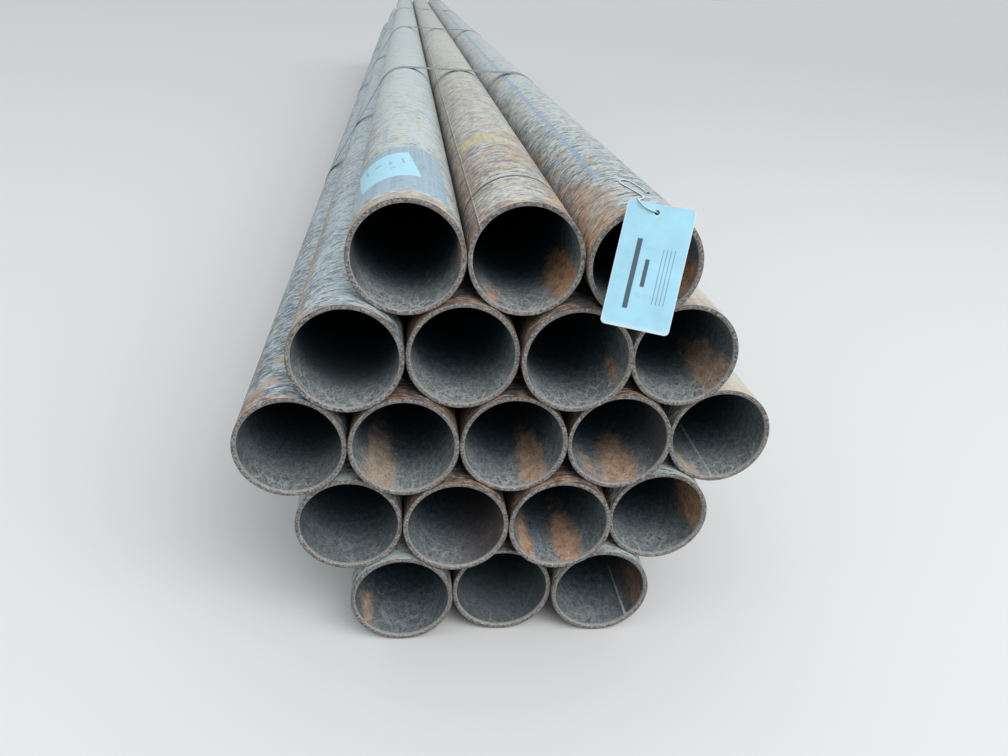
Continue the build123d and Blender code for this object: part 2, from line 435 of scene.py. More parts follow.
relief = bump(scuffs, 0.35 * MM, 0.6)
fill(shader, {
    "Base Color": colour, "Roughness": 0.44 + 0.35 * rust_cover, "Specular IOR Level": 0.45,
    "Normal": bump(grain, 0.12 * MM, 0.6, relief),
})
print("outside steel has", len(tree.nodes), "nodes")

# %% [markdown]
# ## Pipe inside: dark, pitted scale
#
# No rain washes the bore, so it keeps its dark scale, with fine dark pits. A crinkled crust of pale scale gathers
# just inside the mouth, most at the bottom: cells with raised, pale borders, as a bent Voronoi pattern has them.
# Everything is darkened with depth as painted shade, by the distance from the end that the mesh stores. Rust lies in
# strips at known places, orange in most pipes and tan in a few.

# %% Inside material
BARE_SCALE = [(0.36, (0.034, 0.05, 0.06)), (0.52, (0.09, 0.122, 0.138)), (0.66, (0.19, 0.235, 0.25))]
DUSTY_SCALE = [(0.36, (0.18, 0.215, 0.225)), (0.52, (0.32, 0.365, 0.375)), (0.66, (0.51, 0.55, 0.55))]
ORANGE_RUST = [(0.34, (0.36, 0.175, 0.095)), (0.5, (0.7, 0.36, 0.19)), (0.68, (0.88, 0.56, 0.36))]
TAN_RUST = [(0.34, (0.4, 0.305, 0.235)), (0.5, (0.58, 0.455, 0.355)), (0.68, (0.78, 0.66, 0.54))]
CRUST_GROUND, CRUST_RIDGE, CRUMB = (0.1, 0.12, 0.128), (0.66, 0.7, 0.69), (0.6, 0.62, 0.61)
# Painted shade for the deep bore, on the scale and on the rust, and the colour of the pits
DEEP_SHADE, DEEP_RUST_SHADE, PIT = (0.01, 0.03, 0.052), (0.05, 0.028, 0.02), (0.022, 0.028, 0.034)

inside_steel, tree, shader = new_material("inside_steel")

mottle = noise(tree, 170, 120, detail=6, roughness=0.8)
depth, low_part = stored(tree, "depth"), stored(tree, "weather")
dust_cover = low_part * fade(depth, 0.12, 0.0)
colour = mix(dust_cover, ramp(mottle, BARE_SCALE), ramp(mottle, DUSTY_SCALE))


def borders(tree, scale, width, bend=0.9):
    """1 along the borders of uneven cells and 0 inside them, with the cells' places bent by a noise."""
    place = place_of(tree, scale)
    wobble = signal(tree, "TexNoise", "Color", {"Vector": place, "Scale": 1.4, "Detail": 3.0})
    inputs = {0: wobble, 1: (bend, bend, bend), 2: place}
    bent = signal(tree, "VectorMath", 0, inputs, operation="MULTIPLY_ADD")
    inputs = {"Vector": bent, "Scale": 1.0}
    return fade(signal(tree, "TexVoronoi", "Distance", inputs, feature="DISTANCE_TO_EDGE"), width, 0.0)


crust_level = low_part + 1.6 * (noise(tree, 40, 30, detail=3) - 0.5)
crust = fade(crust_level, 0.35, 0.85) * fade(depth, 0.075, 0.012)
ridges = borders(tree, (90, 55, 90), 0.15).at_least(0.6 * borders(tree, (260, 190, 260), 0.2))
ridges = ridges * fade(mottle, 0.2, 0.52)
colour = mix(0.5 * crust, colour, CRUST_GROUND)
colour = mix(crust * ridges * 0.7, colour, CRUST_RIDGE)
crumbs = fade(noise(tree, 480, 360, detail=2, roughness=0.5), 0.58, 0.66)
colour = mix(crumbs * dust_cover * 0.6, colour, CRUMB)

# Painted shade: the bore is painted near black with depth, where little light reaches
depth_shade = fade(depth, 0.02, 0.17)
colour = mix(0.85 * depth_shade, colour, DEEP_SHADE)

rust_noise = noise(tree, 105, 75, detail=6, roughness=0.76)
rust_break = rust_noise + 0.6 * noise(tree, 45, 25, detail=3) - 0.8
rust_cover = 0.9 * fade(stored(tree, "rust") + rust_break, 0.1, 0.7)
rust_colour = mix(stored(tree, "brown"), ramp(rust_noise, ORANGE_RUST), ramp(rust_noise, TAN_RUST))
# Rust, with painted shade over it deeper in the bore
colour = mix(rust_cover, colour, mix(0.55 * depth_shade, rust_colour, DEEP_RUST_SHADE))

pits = fade(noise(tree, 420, 310, detail=2, roughness=0.5), 0.4, 0.32)
colour = mix(0.6 * pits, colour, PIT)
# The stored colours inside are marks and painted shade, broken up at their edges
ragged = 0.45 + fade(mottle, 0.3, 0.7)
marks_and_shade = (stored(tree, "paint_and_shade", "Alpha") * ragged).at_most(1.0)
colour = mix(marks_and_shade, colour, stored(tree, "paint_and_shade", "Color"))

relief = bump(mottle, 0.5 * MM, 0.7)
relief = bump(pits, -0.4 * MM, 0.6, relief)
fill(shader, {
    "Base Color": colour, "Roughness": 0.72, "Specular IOR Level": 0.35,
    "Normal": bump(ridges, 0.6 * MM, crust, relief),
})

# %% [markdown]
# ## Pipe end: sawn steel
#
# The saw leaves a flat, bright face that soon goes grey-brown and speckled. Its noise is fine in every direction.
# Rust darkens the outer edge first, and the bore's broken edge is painted pale as a painted highlight: the mesh stores
# the way across the wall.

# %% Cut-face material
SAWN_STEEL = [(0.36, (0.035, 0.032, 0.032)), (0.5, (0.185, 0.175, 0.168)), (0.64, (0.46, 0.455, 0.44))]
SAWN_BROWN, OUTER_EDGE, BORE_EDGE_HIGHLIGHT = (0.26, 0.2, 0.155), (0.055, 0.045, 0.04), (0.52, 0.5, 0.48)

cut_steel, tree, shader = new_material("cut_steel")

speckle = noise(tree, 420, roughness=0.75)
wall_share = stored(tree, "wall_share")
blotch = fade(noise(tree, 45), 0.45, 0.7)
colour = mix(0.4 * blotch, ramp(speckle, SAWN_STEEL), SAWN_BROWN)
colour = mix(0.65 * fade(wall_share, 0.8, 1.0), colour, OUTER_EDGE)
# Painted highlight on the bore's broken edge
colour = mix(0.55 * fade(wall_share, 0.2, 0.02), colour, BORE_EDGE_HIGHLIGHT)
fill(shader, {"Base Color": colour, "Roughness": 0.6, "Normal": bump(speckle, 0.15 * MM, 0.6)})

# %% [markdown]
# ## Stains, wipes, marks and painted shade
#
# The large marks and the patches of painted shade sit at known places: so many degrees round a pipe, where 0 is
# to the right and 90 is up, and so far in from its end. Painting them in a texture would tie them to an image. Here
# each is a soft spot in angle and depth, added into a number or a colour on the mesh's own points, and the
# materials break up its edges.

# %% Stains for each pipe
# Pipes go by row and place. Each stain: angle, spread of angle, depth in metres, spread of depth, strength
INSIDE_STAINS = {
    "1_1": [(0, 13, 0.02, 0.06, 0.8)],
    "1_2": [(-34, 19, 0.03, 0.08, 1.2), (-125, 12, 0.01, 0.04, 0.6)],
    "1_3": [(-18, 22, 0.02, 0.1, 0.8)],
    "2_1": [(-2, 9, 0, 0.02, 0.6)],
    "2_3": [(-29, 10, 0.04, 0.04, 0.62)],
    "2_4": [(-34, 19, 0.03, 0.07, 1.3)],
    "3_1": [(0, 9, 0, 0.03, 0.5)],
    "3_2": [(-120, 20, 0.03, 0.09, 1.1)],
    "3_3": [(-60, 16, 0.03, 0.08, 1.1)],
    "3_4": [(-76, 20, 0.02, 0.07, 1.1), (-118, 16, 0.02, 0.05, 0.4)],
    "3_5": [(-122, 16, 0, 0.035, 1.25)],
    "4_2": [(-25, 45, 0.02, 0.1, 0.25)],
    "4_3": [(-130, 13, 0.02, 0.07, 0.9), (-72, 15, 0.02, 0.08, 1.1)],
    "4_4": [(-2, 22, 0.02, 0.08, 1.2)],
    "5_1": [(-140, 10, 0.02, 0.05, 0.62)],
    "5_3": [(-18, 28, 0.02, 0.08, 0.42)],
}
OUTSIDE_STAINS = {
    "1_1": [
        (95, 90, 0, 0.03, 0.8), (150, 22, 0.3, 0.5, 0.35), (25, 24, 0.4, 0.9, 0.3), (76, 6, 0.276, 0.02, 0.5),
    ],
    "1_2": [
        (90, 100, 0, 0.015, 0.4), (150, 24, 0.1, 0.6, 0.55), (45, 26, 0.05, 0.08, 0.7), (80, 34, 0.34, 0.16, 0.35),
        (116, 8, 0.011, 0.01, 0.9), (25, 26, 0.4, 0.9, 0.4), (85, 60, 0.21, 0.1, 0.42), (95, 70, 1.1, 0.5, 0.42),
    ],
    "1_3": [
        (145, 30, 0.04, 0.1, 0.75), (120, 30, 0.12, 0.1, 0.35), (155, 20, 0.3, 0.7, 0.35),
        (110, 5, 0.225, 0.014, 1.1), (50, 26, 0.3, 0.9, 0.25),
    ],
    "2_1": [(152, 20, 0.12, 0.7, 0.72), (100, 70, 0, 0.05, 0.2)],
    "2_4": [(85, 50, 0, 0.05, 0.7)],
    "3_1": [(125, 40, 0, 0.07, 0.55), (160, 30, 0.2, 0.4, 0.3)],
    "3_5": [(70, 40, 0, 0.05, 0.5)],
}
# brownness and weathering
OUTSIDE_LOOK = {
    "1_1": (0.3, 0.06), "1_2": (0.75, -0.06), "1_3": (0.35, -0.04), "2_1": (0, -0.04),
    "2_4": (0.3, 0.12), "3_1": (0.1, -0.13), "3_5": (0.3, 0.12),
}
SHELTERED = ["2_2", "2_3", "3_2", "3_3", "3_4", "4_2", "4_3", "5_2"]
INSIDE_TAN = {
    "2_3": 0.5, "2_4": 0.65, "3_2": 1, "3_3": 0.5, "3_4": 0.5, "3_5": 1,
    "4_3": 0.4, "5_1": 0.5,
}
# angle, half-width of angle, softness of angle, depth from, depth to, softness of depth, colour, cover
PAINT_MARKS = {
    "1_1": [
        (98, 53, 7, 0.032, 0.246, 0.01, (0.355, 0.505, 0.61), 0.9),
        (118, 5, 4, 0.268, 0.42, 0.03, (0.33, 0.43, 0.5), 0.6),
        (73, 4, 4, 0.35, 0.52, 0.04, (0.64, 0.57, 0.4), 0.7),
        (106, 10, 8, 0.272, 0.322, 0.03, (0.6, 0.44, 0.26), 0.7),
    ],
    "1_2": [
        (118, 25, 14, 0.312, 0.382, 0.035, (0.69, 0.6, 0.31), 0.93),
        (80, 26, 16, 0.285, 0.34, 0.035, (0.67, 0.62, 0.42), 0.88),
        (72, 14, 12, 0.345, 0.385, 0.03, (0.6, 0.3, 0.16), 0.65),
        (142, 3, 2, -0.01, 0.006, 0.003, (0.02, 0.02, 0.02), 0.95),
    ],
    "1_3": [(114.4, 4, 2.6, 0.13, 6, 0.03, (0.32, 0.46, 0.64), 0.82)],
    "2_1": [
        (110, 5, 3, 0.146, 0.158, 0.008, (0.42, 0.56, 0.66), 0.8),
        (115, 5, 3, 0.072, 0.084, 0.008, (0.4, 0.53, 0.62), 0.7),
    ],
    "2_4": [(78, 45, 16, -0.02, 0.14, 0.06, (0.82, 0.69, 0.53), 0.8)],
    "3_5": [(72, 45, 16, -0.02, 0.26, 0.06, (0.84, 0.71, 0.56), 0.8)],
    "3_1": [
        (113, 11, 6, 0.034, 0.056, 0.012, (0.64, 0.5, 0.34), 1),
        (110, 8, 5, 0.086, 0.106, 0.01, (0.62, 0.49, 0.34), 1),
        (128, 11, 6, 0.024, 0.046, 0.012, (0.52, 0.35, 0.22), 0.9),
    ],
}
ALL_ROUND, WHOLE_DEPTH = (-90, 180, 1), (-0.02, 0.2, 0.02)
SHADE, SHADED_SIDE = (0.03, 0.036, 0.042), (0.012, 0.018, 0.022)
# Inside, mostly painted shade: the left walls of the top row, all round in 2_1, 3_1, 4_1 and 5_2, and the right walls
# of 3_4, 4_2, 4_4 and 5_3, tinted brown. The one in 3_5 is a dark mark.
INSIDE_SHADE_AND_MARKS = {
    "1_1": [(180, 34, 18, *WHOLE_DEPTH, (0.016, 0.024, 0.03), 0.42)],
    "1_2": [(178, 40, 18, *WHOLE_DEPTH, SHADED_SIDE, 0.72)],
    "1_3": [(180, 34, 18, *WHOLE_DEPTH, SHADED_SIDE, 0.5)],
    "3_1": [(*ALL_ROUND, *WHOLE_DEPTH, SHADE, 0.18)],
    "4_1": [(*ALL_ROUND, *WHOLE_DEPTH, SHADE, 0.2)],
    "3_4": [(15, 55, 30, *WHOLE_DEPTH, (0.04, 0.028, 0.033), 0.55)],
    "3_5": [(228, 22, 10, 0.035, 0.2, 0.03, (0.075, 0.095, 0.11), 0.6)],
    "4_2": [(-18, 62, 50, *WHOLE_DEPTH, (0.085, 0.05, 0.052), 0.6)],
    "4_4": [(0, 50, 40, *WHOLE_DEPTH, (0.026, 0.02, 0.02), 0.3)],
    "5_3": [(-8, 42, 30, *WHOLE_DEPTH, (0.045, 0.027, 0.03), 0.55)],
    "5_2": [(*ALL_ROUND, *WHOLE_DEPTH, SHADE, 0.4)],
    "2_1": [(*ALL_ROUND, 0.05, 0.2, 0.04, (0.01, 0.014, 0.018), 0.5)],
}
SEAMS = {"1_2": 145.5}
INNER_BEADS = {"1_2": 145.5, "3_5": -89, "5_3": -47}


def turn_between(angles, middle):
    """Degrees from a middle angle, the short way round, from -180 to 180."""
    return (angles - middle + 180) % 360 - 180


def soft_spots(spots, angles, depths):
    """The sum of bells: each falls off as exp of minus the squared distance in angle and in depth."""
    total = np.zeros(np.broadcast(angles, depths).shape)
    for middle, spread, depth, reach, strength in spots:
        total += strength * np.exp(-((turn_between(angles, middle) / spread) ** 2) - ((depths - depth) / reach) ** 2)
    return np.clip(total, 0, 1)


def soft_box(values, low, high, softness):
    """1 between low and high and 0 outside, with a straight slope of the given softness at each side."""
    return np.clip((values - low) / softness + 0.5, 0, 1) * np.clip((high - values) / softness + 0.5, 0, 1)


# %% [markdown]
# ## The pipes
#
# A pipe could be a cylinder with a hole, or a curve with a bevel. Here it is one closed surface: a line that runs
# along the outside, over the far rim, back along the bore and over the near rim, turned about the axis. Its
# rows are close together near the seen end, where the marks are, and wide apart further on. Broken edges of
# less than half a millimetre catch the light, as sawn and handled edges do.

# %% Pipe surface
EDGE, BORE_EDGE = 0.4 * MM, 0.7 * MM
AROUND = 144
FIRST_ROW = 4 * MM
# fine as far as, fine step, number of coarse rows
OPEN_ROWS, HIDDEN_ROWS, BORE_ROWS = (0.42, 0.005, 26), (0.06, 0.006, 16), (0.24, 0.008, 16)
BESIDE_RIDGE = np.array([-2.2, -1.5, -0.9, -0.4, 0, 0.4, 0.9, 1.5, 2.2])
SEAM_RISE, BEAD_RISE = 0.5 * MM, 1.2 * MM
SAW_CUT_FROM_END, SAW_CUT_WIDTH, SAW_CUT_DEPTH = 108 * MM, 3.2 * MM, 0.9 * MM
OUTSIDE, INSIDE, CUT = 0, 1, 2
inner_pipes = set(SHELTERED) - {"5_2"}


def row_places(length, fine_to, fine_step, coarse_count):
    """Distances along a pipe: even and fine to a point, then each gap longer than the one before."""
    fine = np.arange(FIRST_ROW, fine_to, fine_step)
    coarse = fine_to + (length - FIRST_ROW - fine_to) * np.linspace(0, 1, coarse_count) ** 1.7
    return np.concatenate([fine, coarse])


def saw_cut(outer):
    """The outside's rows with those near the saw cut replaced by rows for its floor and its borders."""
    reach = SAW_CUT_WIDTH / 2
    beside = [-reach - 7 * MM, -reach - 1 * MM, -reach, reach, reach + 2.5 * MM, reach + 6 * MM, reach + 10 * MM]
    rows = [row for row in outer if abs(row[1] - SAW_CUT_FROM_END) > reach + 11 * MM]
    rows += [(PIPE_RADIUS, SAW_CUT_FROM_END + y, OUTSIDE) for y in beside]
    rows += [(PIPE_RADIUS - SAW_CUT_DEPTH, SAW_CUT_FROM_END + y, OUTSIDE) for y in (0.2 * MM - reach, reach - 0.2 * MM)]
    return sorted(rows, key=lambda row: row[1])


def pipe_profile(name, length):
    """Radius, distance from the seen end and zone of each row, once round the wall's section."""
    along = row_places(length, *(HIDDEN_ROWS if name in inner_pipes else OPEN_ROWS))
    outer = [(PIPE_RADIUS, y, OUTSIDE) for y in (EDGE, 1.5 * MM, *along)]
    if name == "1_2":
        outer = saw_cut(outer)
    outer += [(PIPE_RADIUS, length - EDGE, OUTSIDE), (PIPE_RADIUS - EDGE, length, CUT)]
    inner = [(BORE_RADIUS + BORE_EDGE, length, CUT), (BORE_RADIUS, length - BORE_EDGE, INSIDE)]
    inner += [(BORE_RADIUS, y, INSIDE) for y in row_places(length, *BORE_ROWS)[::-1]]
    inner += [(BORE_RADIUS, BORE_EDGE, CUT), (BORE_RADIUS + BORE_EDGE, 0.0, CUT), (PIPE_RADIUS - EDGE, 0.0, CUT)]
    return outer + inner


def pipe_columns(name):
    """Angles round the pipe in degrees, with more of them beside a seam or a bead."""
    angles = np.linspace(0, 360, AROUND, endpoint=False)
    for middle in {SEAMS.get(name), INNER_BEADS.get(name)} - {None}:
        angles = angles[np.abs(turn_between(angles, middle)) > BESIDE_RIDGE[-1] + 0.4]
        angles = np.sort(np.concatenate([angles, (middle + BESIDE_RIDGE) % 360]))
    return angles


def ridge(angles, middle, spread):
    """1 at an angle in degrees, falling off as exp of minus the squared distance over the spread."""
    return np.exp(-((turn_between(angles, middle) / spread) ** 2))


def pipe_points(name, radius, along, zone, angles):
    """The profile turned about the pipe's axis, with its seam raised outwards and its bead inwards."""
    x, z, _, near, _ = pipe_place(f"pipe_{name}")
    wall = np.repeat(radius, len(angles), axis=1)
    if name in SEAMS:
        wall = wall + (zone == OUTSIDE) * SEAM_RISE * (ridge(angles, SEAMS[name], 0.7) - 1)
    if name in INNER_BEADS:
        wall = wall - (zone == INSIDE) * BEAD_RISE * ridge(angles, INNER_BEADS[name], 1.7)
    theta = np.radians(angles)
    return points_of(x + wall * np.cos(theta), near + along, z + wall * np.sin(theta))


# %% [markdown]
# ### What each pipe's mesh stores
#
# Rust gathers at the ends, on the underside and where a pipe is sheltered by others. Each number is worked out
# for all points at once, from the angle round the pipe and the distance from its end.

# %% Stains and marks on the mesh
END_RUST, END_RUST_REACH, UNDERSIDE_RUST = 0.45, 12 * MM, 0.12
SHELTER_RUST, SHELTER_END_RUST, SHELTER_REACH = 0.1, 0.32, 30 * MM
SEAM_SHADE_OFFSET = 2.6
SEAM_PALE, SEAM_SHADOW = (0.66, 0.65, 0.62), (0.035, 0.032, 0.03)
CUT_PALE_BAND, CUT_SHADOW_AND_STAIN = (0.6, 0.57, 0.52), (0.045, 0.034, 0.028)
BEAD_PALE = (0.58, 0.62, 0.63)


def pipe_numbers(name, zone, radius, angles, depths, from_end):
    """Rust, depth, brownness, place across the wall and weathering of each point, by name."""
    outside, sheltered = zone == OUTSIDE, name in SHELTERED
    brownness, weather = OUTSIDE_LOOK.get(name, (0.8, -0.46) if sheltered else (0.3, 0.0))
    height = np.sin(np.radians(angles))
    low = (1 - height) / 2

    outside_rust = soft_spots(OUTSIDE_STAINS.get(name, []), angles, depths) + UNDERSIDE_RUST * low
    outside_rust = outside_rust + END_RUST * np.exp(-from_end / END_RUST_REACH)
    outside_rust = outside_rust + sheltered * (SHELTER_RUST + SHELTER_END_RUST * np.exp(-from_end / SHELTER_REACH))
    inside_rust = soft_spots(INSIDE_STAINS.get(name, []), angles, depths)

    outside_weather = 0.35 + 0.35 * height + 0.15 * np.clip(depths / 1.5, 0, 1) + weather
    inside_weather = np.clip(0.15 + 0.85 * low, 0, 1) ** 1.5 * (1 - 0.13 * (int(name[0]) - 1))
    return {
        "rust": np.where(outside, outside_rust, inside_rust),
        "depth": from_end,
        "brown": np.where(outside, brownness + 0.25 * low, INSIDE_TAN.get(name, 0.1)),
        "wall_share": (radius - BORE_RADIUS) / (PIPE_RADIUS - BORE_RADIUS),
        "weather": np.where(outside, outside_weather, inside_weather),
    }


def lay(paint_and_shade, tint, mask):
    """Lays a tint wherever its mask is stronger than the cover that is there."""
    paint_and_shade[mask > paint_and_shade[..., 3], :3] = tint
    paint_and_shade[..., 3] = np.maximum(paint_and_shade[..., 3], mask)


def pipe_paint_and_shade(name, zone, angles, depths):
    """The marks and painted shade of a pipe as a colour with its cover, for each point."""
    outside, inside = zone == OUTSIDE, zone == INSIDE
    paint_and_shade = np.zeros((*angles.shape, 4))
    paint_and_shade[..., :3] = 0.4
    marks_and_shade = [(*mark, outside) for mark in PAINT_MARKS.get(name, [])]
    marks_and_shade += [(*mark, inside) for mark in INSIDE_SHADE_AND_MARKS.get(name, [])]
    for middle, half, soft, start, end, soft_depth, tint, cover, where in marks_and_shade:
        mask = soft_box(turn_between(angles, middle), -half, half, soft) * soft_box(depths, start, end, soft_depth)
        lay(paint_and_shade, tint, cover * mask * where)
    if name in SEAMS:
        away = turn_between(angles, SEAMS[name])
        lay(paint_and_shade, SEAM_PALE, np.clip(1.4 - np.abs(away) / 0.6, 0, 1) * outside)
        # Painted shadow along one side of the raised seam, beside its pale line
        lay(paint_and_shade, SEAM_SHADOW, 0.8 * np.clip(1.3 - np.abs(away - SEAM_SHADE_OFFSET) / 1.6, 0, 1) * outside)
    if name == "1_2":
        from_cut = depths - SAW_CUT_FROM_END
        # A paler band just before the saw cut
        lay(paint_and_shade, CUT_PALE_BAND, 0.55 * soft_box(from_cut, -8 * MM, -2 * MM, 3 * MM) * outside)
        past_cut = from_cut > -SAW_CUT_WIDTH / 2 - 0.1 * MM
        # Painted shadow in the saw cut and past it, with dark stain, fading over a few millimetres
        lay(paint_and_shade, CUT_SHADOW_AND_STAIN, 0.95 * np.clip(1.25 - from_cut / (9 * MM), 0, 1) * past_cut * outside)
    if name in INNER_BEADS:
        away = turn_between(angles, INNER_BEADS[name])
        lay(paint_and_shade, BEAD_PALE, 0.95 * np.clip(1.5 - np.abs(away) / 1.5, 0, 1) * np.exp(-depths / 0.09) * inside)
    return paint_and_shade


def dress_pipe(node):
    """One pipe as one closed surface, with its numbers, its marks and its painted shade stored on the points."""
    *_, near, far = pipe_place(node)
    length, name = far - near, node.removeprefix("pipe_")
    radius, along, zone = np.array(pipe_profile(name, length)).T[..., None]
    angles = pipe_columns(name)
    faces = grid_faces(len(along), len(angles), close_rows=True, close_columns=True)
    face_zone, next_zone = (zone[faces[:, corner] // len(angles), 0] for corner in (0, 1))
    face_zone = np.where(face_zone == next_zone, face_zone, CUT)
    points = pipe_points(name, radius, along, zone, angles)
    piece = make_piece(f"dressed_{node}", points, "pipe_steel", outside_steel, inside_steel, cut_steel,
                       faces=faces, face_material=face_zone, sharp_angle=50)

    angle_grid, depth_grid = np.broadcast_arrays(angles[None, :], along)
    from_end = np.minimum(depth_grid, length - depth_grid)
    add_numbers(piece, from_end.shape, **pipe_numbers(name, zone, radius, angle_grid, depth_grid, from_end))
    add_colours(piece, "paint_and_shade", pipe_paint_and_shade(name, zone, angle_grid, depth_grid))
    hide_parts(node)
    return piece


dressed = [dress_pipe(node) for node in pipe_nodes]
print("pipes dressed:", len(dressed), "with", sum(len(piece.data.polygons) for piece in dressed) * 2, "triangles")

# %% [markdown]
# ## Bands
#
# A steel band is a strip pulled tight: straight from crest to crest and curved only on the six corner pipes. It
# could be a curve with a bevel, but a strip is simpler as a path with a flat section carried along it. The path
# is worked out from the corner pipes, and the strip's edges are rounded by half its thickness.

# %% Band material
band_steel, tree, shader = new_material("band_steel")

BAND_GREY = [(0.3, (0.19, 0.225, 0.24)), (0.55, (0.28, 0.33, 0.345)), (0.75, (0.37, 0.42, 0.43))]
BAND_RUST = (0.3, 0.18, 0.11)

length_wise = noise(tree, 60, 900, detail=3, roughness=0.5)
dull = noise(tree, 35, detail=5)
rusty = fade(noise(tree, 28, 90, detail=6, roughness=0.7), 0.62, 0.74)
fill(shader, {
    "Base Color": mix(0.7 * rusty, ramp(dull, BAND_GREY), BAND_RUST), "Metallic": 0.35,
    "Roughness": 0.45, "Normal": bump(length_wise, 0.05 * MM, 0.5),
})

# %% Band surface
BAND_WIDTH = 31.75 * MM
BAND_THICKNESS = 0.8 * MM
BAND_SEAT_GAP = 0.3 * MM
LAP_LENGTH = 118 * MM
NOTCH_SPACING, NOTCH_BITE, NOTCH_ROOT = 22 * MM, 1.9 * MM, 3.0 * MM
NOTCH_SLOPE = 5 / 3
LAP_GAP, RUN_MARGIN = 0.02 * MM, 1 * MM


def corner_centres():
    """Axes of the six corner pipes, anticlockwise from the lower right, seen from the tagged ends."""
    names = ["pipe_5_3", "pipe_3_5", "pipe_1_3", "pipe_1_1", "pipe_3_1", "pipe_5_1"]
    return np.array([pipe_place(name)[:2] for name in names])


def notched_half_width(along):
    """Half the strip's width at distances from the seal's middle: less by a tapered bite near plus and minus 11 mm."""
    away = np.abs(np.abs(along) - NOTCH_SPACING / 2)
    root = BAND_WIDTH / 2 - NOTCH_BITE
    return np.minimum(BAND_WIDTH / 2, root + np.maximum(0, away - NOTCH_ROOT / 2) * NOTCH_SLOPE)


def lap_places():
    """Distances from the seal's middle along the lap, close together at the bites."""
    bite = np.array([-2.7, -2.2, -1.5, 0, 1.5, 2.2, 2.7]) * MM
    return np.unique(np.concatenate([
        np.linspace(-LAP_LENGTH / 2, LAP_LENGTH / 2, 31), bite + NOTCH_SPACING / 2, bite - NOTCH_SPACING / 2,
    ]))


def band_path(radius, per_corner=16, per_side=24):
    """Points and outward directions round the hexagon: an arc on each corner pipe and a straight run to the next.

    Also how much narrower the strip is at each point, which is only at the seal's bites, on the lower right side.
    """
    centres = corner_centres()
    side_x, side_z = (np.roll(centres, -1, axis=0) - centres).T
    side_angle = np.arctan2(-side_x, side_z)
    points, normals, narrowing = [], [], []
    for corner in range(6):
        start = side_angle[corner - 1]
        end = start + (side_angle[corner] - start) % (2 * pi)
        arc = np.linspace(start, end, per_corner)
        facing = circle(arc)
        on_arc = centres[corner] + radius * facing
        following = centres[(corner + 1) % 6] + radius * facing[-1]
        run = np.linalg.norm(following - on_arc[-1])
        places = np.linspace(0, run, per_side + 2)[1:-1]
        if corner == 0:
            places = np.unique(np.concatenate([run / 4 + lap_places(), places[places > run / 4 + LAP_LENGTH / 2]]))
            places = places[(places > RUN_MARGIN) & (places < run - RUN_MARGIN)]
        points += [on_arc, on_arc[-1] + (following - on_arc[-1]) * (places / run)[:, None]]
        normals += [facing, np.repeat(facing[-1:], len(places), axis=0)]
        bites = notched_half_width(places - run / 4) - BAND_WIDTH / 2 if corner == 0 else np.zeros(len(places))
        narrowing += [np.zeros(per_corner), bites]
    return np.concatenate(points), np.concatenate(normals), np.concatenate(narrowing)


def strip_section(width, thickness, per_edge=5):
    """Across and height of a flat strip's section with half-round edges, once round it."""
    edge = thickness / 2
    right_edge = [width / 2 - edge, 0] + edge * circle(np.linspace(-pi / 2, pi / 2, per_edge))
    return np.concatenate([right_edge, -right_edge])


def band_middle(number):
    """The distance along the pipes of a band's middle line."""
    low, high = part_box(f"band_{number}")
    return (low.y + high.y) / 2


def make_band(number):
    """The strip's section carried once round the path."""
    path, facing, narrowing = band_path(PIPE_RADIUS + BAND_SEAT_GAP + BAND_THICKNESS / 2)
    (x, z), (outward_x, outward_z) = path.T[..., None], facing.T[..., None]
    across, lift = strip_section(BAND_WIDTH, BAND_THICKNESS).T
    y = band_middle(number) + across + np.sign(across) * narrowing[:, None]
    points = points_of(x + outward_x * lift, y, z + outward_z * lift)
    piece = make_piece(f"dressed_band_{number}", points, "band_steel", band_steel)
    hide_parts(f"band_{number}")
    return piece


def make_lap(number):
    """The band's outer end, one thickness further out and flat, with the same bites."""
    lower, upper = np.array(pipe_place("pipe_5_3")[:2]), np.array(pipe_place("pipe_4_4")[:2])
    run = unit(upper - lower)
    facing = np.array([run[1], -run[0]])
    places = lap_places()
    across = np.linspace(-1, 1, 9)
    layers = []
    for height in (2 * BAND_THICKNESS, BAND_THICKNESS + LAP_GAP):
        centre = (lower + upper) / 2 + run * places[:, None] + facing * (PIPE_RADIUS + BAND_SEAT_GAP + height)
        side = band_middle(number) - across * notched_half_width(places)[:, None]
        layers.append(points_of(centre[:, :1], side, centre[:, 1:]))
    points, faces = thin_sheet(*layers)
    return make_piece(f"dressed_band_{number}_lap", points, "band_steel", band_steel, faces=faces)


bands = [make_band(number) for number in range(1, 5)]
laps = [make_lap(number) for number in range(1, 5)]
for number in range(1, 5):
    seal = frame["nodes"][f"band_seal_{number}"]
    seal.data.materials.clear()
    seal.data.materials.append(band_steel)
print("bands:", len(bands), "path of", len(band_path(PIPE_RADIUS)[0]), "points", len(laps), "laps")

# %% [markdown]
# ## Label
#
# A sheet of paper wrapped on the pipe, a little askew. It is a flat rectangle, turned by its skew, and rolled on
# to the pipe: its distance across becomes an angle. It is blank but for faint grey rules.

# %% Label material
RULE_GREY = (0.06, 0.09, 0.12)
INK_BLUR = 0.25


def ruled(tree, bars):
    """How far a point lies in any of the bars: each is centre and half-size, in millimetres, on the sheet."""
    cover = 0.0
    across, along = stored(tree, "across_mm"), stored(tree, "along_mm")
    for middle, height, half_width, half_height, strength in bars:
        within_width = fade(abs(across - middle), half_width + INK_BLUR, half_width - INK_BLUR)
        within_height = fade(abs(along - height), half_height + INK_BLUR, half_height - INK_BLUR)
        cover = (within_width * within_height * strength).at_least(cover)
    return cover


